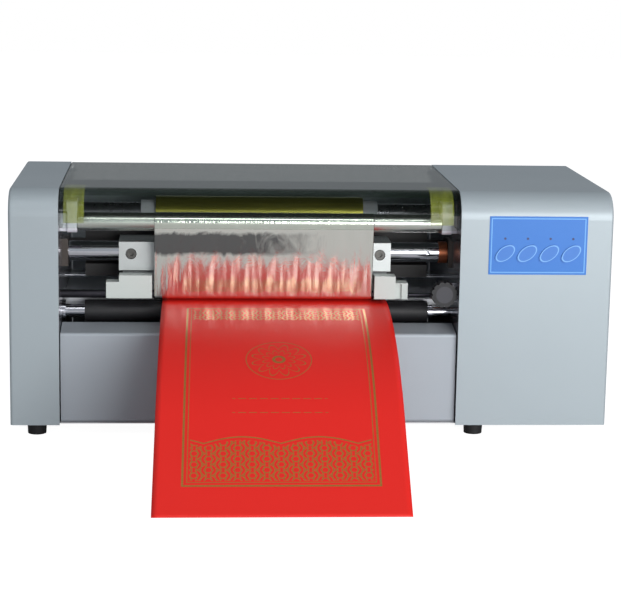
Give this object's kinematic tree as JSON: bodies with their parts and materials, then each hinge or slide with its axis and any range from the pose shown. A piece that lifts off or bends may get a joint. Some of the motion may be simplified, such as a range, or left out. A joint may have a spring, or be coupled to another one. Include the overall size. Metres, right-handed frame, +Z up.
{
  "type": "hot foil stamper",
  "caption": "Desk-top hot foil stamper: two painted casings, an open foil bay with thermal head, rubber platen, foil rolls, hinged clear cover, key panel and a card coming out.",
  "frame": {"origin": "centre of the casings' footprint, on the plane the feet stand on", "axes": "+X to the operator's right along the shafts, +Y to the back, +Z up"},
  "size_m": [0.6042, 0.5148, 0.249],
  "materials": {
    "casing_paint": "satin grey-blue powder coat",
    "panel_paint": "satin grey powder coat",
    "side_plate": "smooth anodised",
    "zinc_sheet": "zinc plated",
    "dark_sheet": "matt black paint",
    "ground_steel": "ground and chromed",
    "dark_steel": "blackened",
    "screw_steel": "zinc plated",
    "black_rubber": "matt",
    "bronze": "sintered bronze",
    "machined_aluminium": "milled",
    "tube_aluminium": "polished",
    "white_nylon": "smooth",
    "pale_plastic": "smooth",
    "black_plastic": "fine texture",
    "gear_plastic": "acetal",
    "motor_black": "matt",
    "clear_acrylic": "clear, faint smoke",
    "foil_back": "used foil, satin",
    "foil_gold": "wound metallic foil",
    "core_card": "plain",
    "red_card": "smooth coated",
    "heater_ceramic": "glazed",
    "overlay_blue": "smooth film",
    "circuit_board": "solder resist"
  },
  "bodies": {
    "chassis": {"base_pan": "zinc_sheet", "left_side_plate": "side_plate", "right_side_plate": "side_plate", "left_casing": "casing_paint", "right_casing": "casing_paint", "front_panel": "panel_paint", "rear_panel": "panel_paint", "feed_table": "machined_aluminium", "rubber_feet": "black_rubber", "case_screws": "screw_steel", "peel_rod": "dark_steel", "foil_guides": "pale_plastic", "rear_foil_rod": "ground_steel", "rear_baffle": "dark_sheet", "head_bushes": "bronze", "platen_bearings": "ground_steel", "take_up_brackets": "white_nylon", "bracket_caps": "white_nylon", "supply_bushes": "white_nylon", "cover_pins": "screw_steel", "drive_plate": "zinc_sheet", "platen_motor": "motor_black", "take_up_motor": "motor_black", "head_motor": "motor_black", "platen_belt": "black_rubber", "power_supply": "zinc_sheet", "control_board": "circuit_board", "key_board": "circuit_board", "membrane_panel": "overlay_blue", "mains_inlet": "black_plastic", "foil_web": "foil_back"},
    "head": {"head_shaft": "ground_steel", "clamp_blocks": "machined_aluminium", "clamp_screws": "screw_steel", "head_carrier": "machined_aluminium", "thermal_head": "machined_aluminium", "heater_strip": "heater_ceramic", "head_sector": "dark_steel", "thrust_ring": "bronze"},
    "head_drive": {"head_pinion": "dark_steel"},
    "platen": {"platen_shaft": "ground_steel", "platen_sleeve": "black_rubber", "platen_pulley": "machined_aluminium"},
    "platen_drive": {"motor_pulley": "machined_aluminium"},
    "take_up": {"take_up_tube": "tube_aluminium", "take_up_shaft": "ground_steel", "take_up_gear": "gear_plastic"},
    "take_up_drive": {"take_up_pinion": "dark_steel"},
    "supply": {"supply_shaft": "dark_steel", "foil_core": "core_card", "foil_roll": "foil_gold", "foil_chucks": "white_nylon"},
    "cover": {"clear_cover": "clear_acrylic"},
    "stop_button": {"stop_key": "overlay_blue"},
    "test_button": {"test_key": "overlay_blue"},
    "back_button": {"back_key": "overlay_blue"},
    "feed_button": {"feed_key": "overlay_blue"},
    "mains_switch": {"power_rocker": "black_plastic"},
    "knob": {"pressure_knob": "black_plastic"},
    "sheet": {"printed_sheet": "red_card"}
  },
  "joints": [
    {"name": "head_lift", "type": "hinge", "parent": "chassis", "child": "head", "pos_m": [0, -0.044, 0.1775], "axis": [-1, 0, 0], "range_deg": [0, 5]},
    {"name": "head_pinion_spin", "type": "hinge", "parent": "chassis", "child": "head_drive", "pos_m": [0.17, 0.00116, 0.16106], "axis": [-1, 0, 0], "range_deg": [-25, 0]},
    {"name": "platen_spin", "type": "hinge", "parent": "chassis", "child": "platen", "pos_m": [0, -0.064, 0.119], "axis": [1, 0, 0], "continuous": true},
    {"name": "platen_motor_spin", "type": "hinge", "parent": "chassis", "child": "platen_drive", "pos_m": [0.16, -0.01981, 0.07481], "axis": [1, 0, 0], "continuous": true},
    {"name": "take_up_spin", "type": "hinge", "parent": "chassis", "child": "take_up", "pos_m": [0, -0.0801, 0.213], "axis": [-1, 0, 0], "continuous": true},
    {"name": "take_up_pinion_spin", "type": "hinge", "parent": "chassis", "child": "take_up_drive", "pos_m": [0.16, -0.05711, 0.1969], "axis": [-1, 0, 0], "continuous": true},
    {"name": "supply_spin", "type": "hinge", "parent": "chassis", "child": "supply", "pos_m": [0, 0.045, 0.2052], "axis": [-1, 0, 0], "continuous": true},
    {"name": "cover_hinge", "type": "hinge", "parent": "chassis", "child": "cover", "pos_m": [0, 0.111, 0.241], "axis": [-1, 0, 0], "range_deg": [0, 75]},
    {"name": "stop_key_press", "type": "slide", "parent": "chassis", "child": "stop_button", "axis": [0, 1, 0], "range_m": [0, 0.00025], "stiffness_N_per_m": 800},
    {"name": "test_key_press", "type": "slide", "parent": "chassis", "child": "test_button", "axis": [0, 1, 0], "range_m": [0, 0.00025], "stiffness_N_per_m": 800},
    {"name": "back_key_press", "type": "slide", "parent": "chassis", "child": "back_button", "axis": [0, 1, 0], "range_m": [0, 0.00025], "stiffness_N_per_m": 800},
    {"name": "feed_key_press", "type": "slide", "parent": "chassis", "child": "feed_button", "axis": [0, 1, 0], "range_m": [0, 0.00025], "stiffness_N_per_m": 800},
    {"name": "rocker_tilt", "type": "hinge", "parent": "chassis", "child": "mains_switch", "pos_m": [0.215, 0.118, 0.099], "axis": [-1, 0, 0], "range_deg": [0, 16]},
    {"name": "knob_turn", "type": "hinge", "parent": "chassis", "child": "knob", "pos_m": [0.133, -0.1, 0.1453], "axis": [0, -1, 0], "range_deg": [0, 270]},
    {"name": "sheet_draw", "type": "slide", "parent": "chassis", "child": "sheet", "axis": [0, -1, 0], "range_m": [0, 0.1]}
  ],
  "couplings": [
    {"joint": "head_pinion_spin", "follows": "head_lift", "ratio": -5},
    {"joint": "platen_motor_spin", "follows": "platen_spin", "ratio": 2},
    {"joint": "take_up_pinion_spin", "follows": "take_up_spin", "ratio": -2.5}
  ]
}
